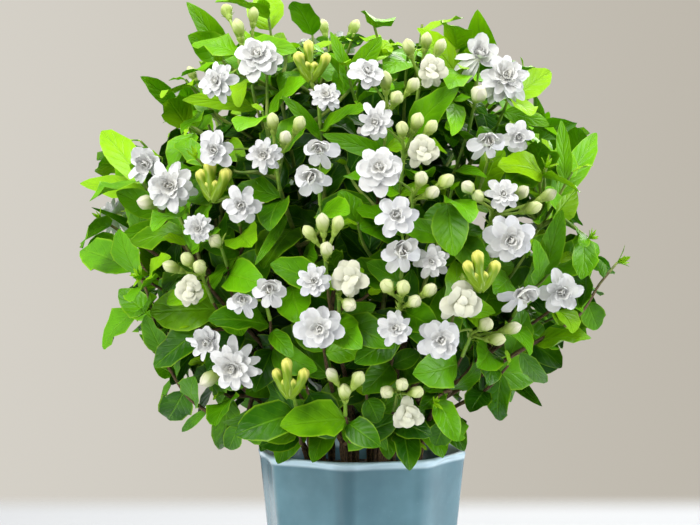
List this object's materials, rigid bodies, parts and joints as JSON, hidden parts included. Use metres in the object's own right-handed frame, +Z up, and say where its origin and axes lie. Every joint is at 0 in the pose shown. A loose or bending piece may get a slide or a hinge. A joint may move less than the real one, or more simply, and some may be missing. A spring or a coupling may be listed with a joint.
{
  "type": "potted arabian jasmine",
  "caption": "Bushy arabian jasmine with double white blooms, buds and pointed green leaves, growing in a faceted glazed ceramic pot with a rounded lip.",
  "frame": {"origin": "centre of the pot's underside, on the pot's axis", "axes": "+Z up along the pot's axis, -Y towards the front that the picture shows, +X to the viewer's right"},
  "size_m": [0.4101, 0.3463, 0.4988],
  "materials": {
    "glaze": "gloss",
    "soil": "matte",
    "leaf": "satin",
    "petal": "matte"
  },
  "bodies": {
    "root": {"pot": "glaze", "soil": "soil", "stem_01": "leaf", "stem_02": "leaf", "stem_03": "leaf", "stem_04": "leaf", "stem_05": "leaf", "stem_06": "leaf", "stem_07": "leaf", "stem_08": "leaf", "stem_09": "leaf", "stem_10": "leaf", "stem_11": "leaf", "stem_12": "leaf", "stem_13": "leaf", "stem_14": "leaf", "stem_15": "leaf", "stem_16": "leaf", "stem_17": "leaf", "stem_18": "leaf", "spray_01": "petal", "spray_02": "petal", "spray_03": "petal", "spray_04": "petal", "spray_05": "petal", "spray_06": "petal", "spray_07": "petal", "spray_08": "petal", "spray_09": "petal", "spray_10": "petal", "spray_11": "petal", "spray_12": "petal", "spray_13": "petal", "spray_14": "petal", "spray_15": "petal", "spray_16": "petal", "spray_17": "petal", "spray_18": "petal", "spray_19": "petal", "spray_20": "petal", "spray_21": "petal", "spray_22": "petal", "spray_23": "petal", "spray_24": "petal", "spray_25": "petal", "spray_26": "petal", "spray_27": "petal", "spray_28": "petal", "spray_29": "petal", "spray_30": "petal", "spray_31": "petal", "spray_32": "petal", "spray_33": "petal", "spray_34": "petal", "spray_35": "petal", "spray_36": "petal", "spray_37": "petal", "spray_38": "petal", "spray_39": "petal"}
  },
  "joints": []
}
